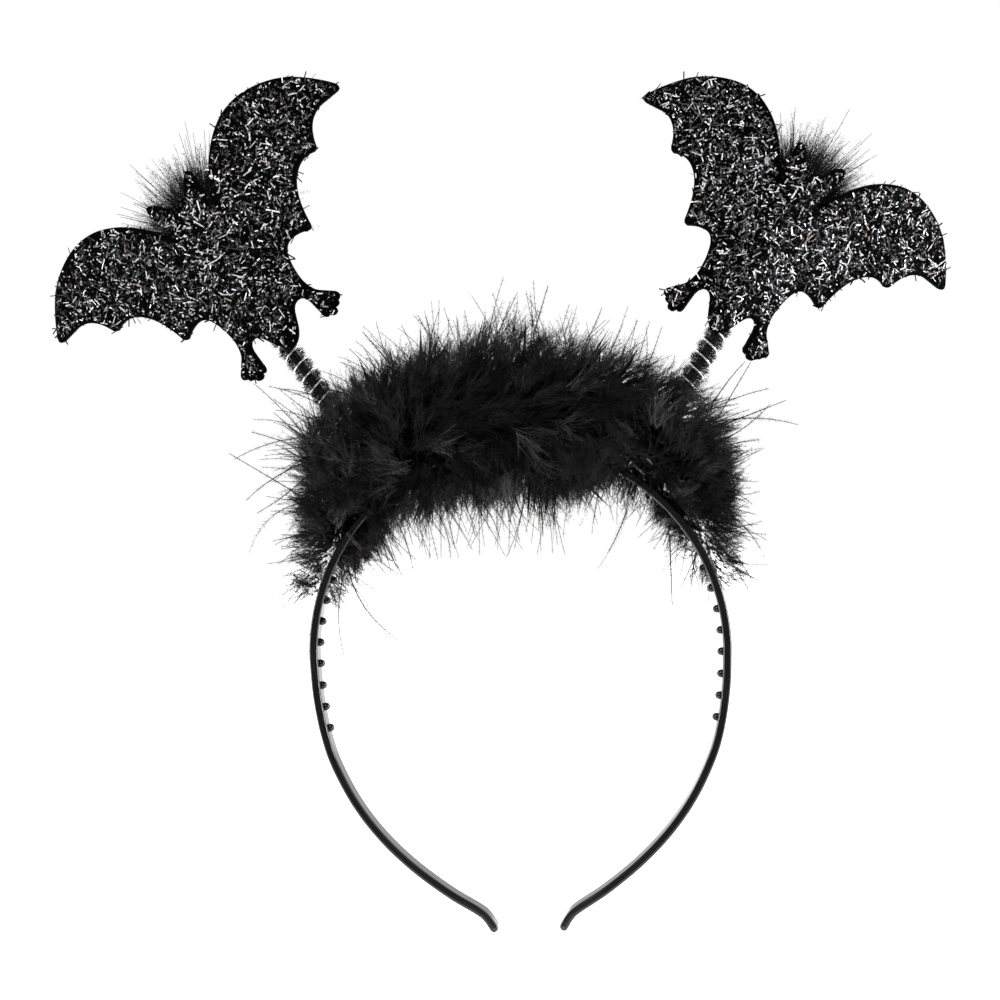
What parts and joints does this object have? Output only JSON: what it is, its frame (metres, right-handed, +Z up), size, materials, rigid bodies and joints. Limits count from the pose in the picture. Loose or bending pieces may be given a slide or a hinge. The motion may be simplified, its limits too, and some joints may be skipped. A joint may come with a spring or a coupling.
{
  "type": "bat headband",
  "caption": "Springy plastic headband with a feather boa round its crown and glitter bats bobbing on coil springs, each with a feather tuft behind its head.",
  "frame": {"origin": "middle of the band's inner face at the crown, where it sits on a head", "axes": "+Z up, +X to the viewer's right along the band's width, +Y to the back of the wearer's head"},
  "size_m": [0.283, 0.0665, 0.2658],
  "materials": {
    "band_plastic": "black moulded plastic, glossy, with bright lines along its bevelled edges",
    "feather": "dyed black down feathers, soft and shaggy, going grey and clear at the tips",
    "spring_wire": "bright drawn steel wire",
    "pile": "black cut pile, as on a pipe cleaner",
    "glitter_foam": "black foam sheet covered with short strips of silver tinsel"
  },
  "bodies": {
    "root": {"band": "band_plastic", "feather_boa": "feather", "spring_left": "spring_wire", "spring_right": "spring_wire", "stem_pile_left": "pile", "stem_pile_right": "pile", "bat_left": "glitter_foam", "bat_right": "glitter_foam", "tuft_left": "feather", "tuft_right": "feather"}
  },
  "joints": []
}
